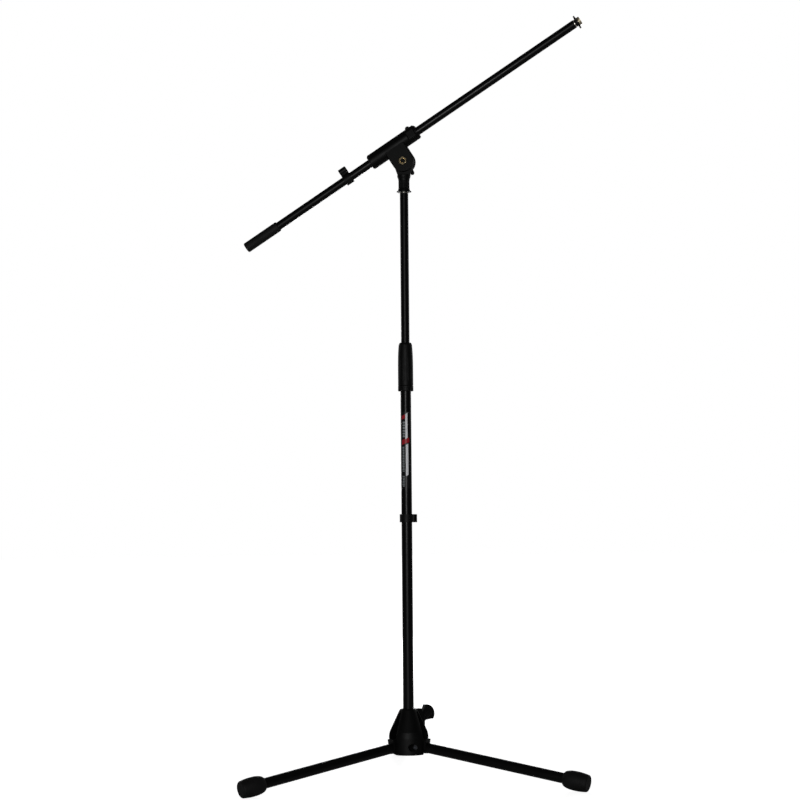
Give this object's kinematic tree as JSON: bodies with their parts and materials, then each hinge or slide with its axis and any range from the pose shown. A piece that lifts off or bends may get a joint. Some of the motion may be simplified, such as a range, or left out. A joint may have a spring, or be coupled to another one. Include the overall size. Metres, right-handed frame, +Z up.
{
  "type": "boom microphone stand",
  "caption": "Black tripod microphone stand: low folding legs, telescopic column with a twist clutch, and a boom arm that tilts, turns and slides in a clamp head, ending in a threaded tip.",
  "frame": {"origin": "on the floor, under the column's axis", "axes": "+Z up along the column, +X the way the boom points, seen from above; boom and column lie in Y = 0"},
  "size_m": [0.6653, 0.6117, 1.4318],
  "materials": {
    "tube_paint": "satin black powder coat",
    "casting_paint": "fine-textured black enamel on a die casting",
    "black_plastic": "moulded black nylon",
    "liner_plastic": "smooth black acetal",
    "black_rubber": "matte moulded rubber",
    "friction_fibre": "pressed fibre",
    "nickel_plate": "bright nickel plate",
    "zinc_plate": "bright zinc plate",
    "black_steel": "black oxide",
    "label_film": null
  },
  "bodies": {
    "column": {"lower_tube": "tube_paint", "lower_tube_plug": "black_plastic", "clutch_core": "black_plastic", "clutch_collet": "liner_plastic"},
    "clutch": {"clutch_grip": "black_plastic"},
    "guide": {"guide_bush": "liner_plastic"},
    "mast": {"upper_tube": "tube_paint", "upper_tube_plug": "black_plastic", "guide_ring": "zinc_plate", "mast_stud": "nickel_plate", "head_flange": "casting_paint", "head_base": "casting_paint"},
    "head": {"boom_head": "casting_paint", "friction_washer_front": "friction_fibre", "friction_washer_back": "friction_fibre", "tilt_nut": "zinc_plate"},
    "washer": {"tilt_washer": "zinc_plate"},
    "tilt_lock": {"tilt_bolt": "zinc_plate", "tilt_handle": "black_plastic"},
    "liner": {"liner_rear": "liner_plastic", "liner_front": "liner_plastic"},
    "boom": {"boom_tube": "tube_paint", "boom_grip": "black_rubber", "boom_insert": "nickel_plate"},
    "disc": {"lock_disc": "black_plastic"},
    "adapter": {"thread_adapter": "nickel_plate"},
    "boom_clip": {"boom_clip": "black_plastic"},
    "boom_shoe": {"boom_shoe": "liner_plastic"},
    "boom_lock": {"boom_screw": "zinc_plate", "boom_knob": "black_plastic"},
    "hub": {"hub": "casting_paint", "leg_bolts": "zinc_plate", "leg_nuts": "zinc_plate"},
    "hub_shoe": {"hub_shoe": "liner_plastic"},
    "hub_lock": {"hub_screw": "zinc_plate", "hub_knob": "black_plastic"},
    "column_clip": {"column_clip": "black_plastic"},
    "leg_left": {"leg_knuckle_left": "casting_paint", "leg_tube_left": "tube_paint", "leg_rivet_left": "black_steel", "foot_left": "black_rubber"},
    "leg_right": {"leg_knuckle_right": "casting_paint", "leg_tube_right": "tube_paint", "leg_rivet_right": "black_steel", "foot_right": "black_rubber"},
    "leg_rear": {"leg_knuckle_rear": "casting_paint", "leg_tube_rear": "tube_paint", "leg_rivet_rear": "black_steel", "foot_rear": "black_rubber"}
  },
  "joints": [
    {"name": "mast_height", "type": "slide", "parent": "column", "child": "guide", "axis": [0, 0, 1], "range_m": [-0.28, 0.36]},
    {"name": "mast_turn", "type": "hinge", "parent": "guide", "child": "mast", "pos_m": [0, 0, 1], "axis": [0, 0, 1], "continuous": true},
    {"name": "height_clutch", "type": "hinge", "parent": "column", "child": "clutch", "pos_m": [0, 0, 0.78], "axis": [0, 0, 1], "range_deg": [0, 360]},
    {"name": "boom_tilt", "type": "hinge", "parent": "mast", "child": "head", "pos_m": [0, 0, 1.1695], "axis": [0, -1, 0], "range_deg": [-122, 57.8]},
    {"name": "tilt_screw_travel", "type": "slide", "parent": "head", "child": "washer", "axis": [0, 1, 0], "range_m": [0, 0.00188]},
    {"name": "tilt_lock_turn", "type": "hinge", "parent": "washer", "child": "tilt_lock", "pos_m": [0, 0.016, 1.1695], "axis": [0, 1, 0], "range_deg": [0, 540]},
    {"name": "boom_turn", "type": "hinge", "parent": "head", "child": "liner", "pos_m": [-0.01819, 0, 1.19846], "axis": [0.8468, 0, 0.532], "continuous": true},
    {"name": "boom_reach", "type": "slide", "parent": "liner", "child": "boom", "axis": [0.8468, 0, 0.532], "range_m": [-0.34, 0.044]},
    {"name": "lock_disc_turn", "type": "hinge", "parent": "boom", "child": "disc", "pos_m": [0.33405, 0, 1.41977], "axis": [0.8468, 0, 0.532], "range_deg": [0, 360]},
    {"name": "adapter_turn", "type": "hinge", "parent": "boom", "child": "adapter", "pos_m": [0.3382, 0, 1.42237], "axis": [0.8468, 0, 0.532], "range_deg": [0, 720]},
    {"name": "boom_clip_slide", "type": "slide", "parent": "boom", "child": "boom_clip", "axis": [-0.8468, 0, -0.532], "range_m": [-0.044, 0.15]},
    {"name": "boom_shoe_travel", "type": "slide", "parent": "head", "child": "boom_shoe", "axis": [-0.182, 0.9397, 0.2896], "range_m": [0, 0.00251]},
    {"name": "boom_lock_turn", "type": "hinge", "parent": "boom_shoe", "child": "boom_lock", "pos_m": [0.00931, 0.02631, 1.22705], "axis": [-0.182, 0.9397, 0.2896], "range_deg": [0, 720]},
    {"name": "hub_slide", "type": "slide", "parent": "column", "child": "hub", "axis": [0, 0, 1], "range_m": [0, 0.26]},
    {"name": "hub_shoe_travel", "type": "slide", "parent": "hub", "child": "hub_shoe", "axis": [0.5905, 0.5791, 0.5621], "range_m": [0, 0.00251]},
    {"name": "hub_lock_turn", "type": "hinge", "parent": "hub_shoe", "child": "hub_lock", "pos_m": [0.03189, 0.03127, 0.12455], "axis": [0.5905, 0.5791, 0.5621], "range_deg": [0, 720]},
    {"name": "column_clip_slide", "type": "slide", "parent": "column", "child": "column_clip", "axis": [0, 0, 1], "range_m": [-0.08, 0.22]},
    {"name": "leg_fold_left", "type": "hinge", "parent": "hub", "child": "leg_left", "pos_m": [-0.01571, -0.0154, 0.06454], "axis": [0.7002, -0.714, 0], "range_deg": [0, 81.5]},
    {"name": "leg_fold_right", "type": "hinge", "parent": "hub", "child": "leg_right", "pos_m": [0.02119, -0.0059, 0.06454], "axis": [0.2682, 0.9634, 0], "range_deg": [0, 81.5]},
    {"name": "leg_fold_rear", "type": "hinge", "parent": "hub", "child": "leg_rear", "pos_m": [-0.00549, 0.02131, 0.06454], "axis": [-0.9684, -0.2494, 0], "range_deg": [0, 81.5]}
  ],
  "couplings": [
    {"joint": "tilt_screw_travel", "follows": "tilt_lock_turn", "m_per_rad": 0.00019894},
    {"joint": "boom_shoe_travel", "follows": "boom_lock_turn", "m_per_rad": 0.00019894},
    {"joint": "hub_shoe_travel", "follows": "hub_lock_turn", "m_per_rad": 0.00019894}
  ]
}
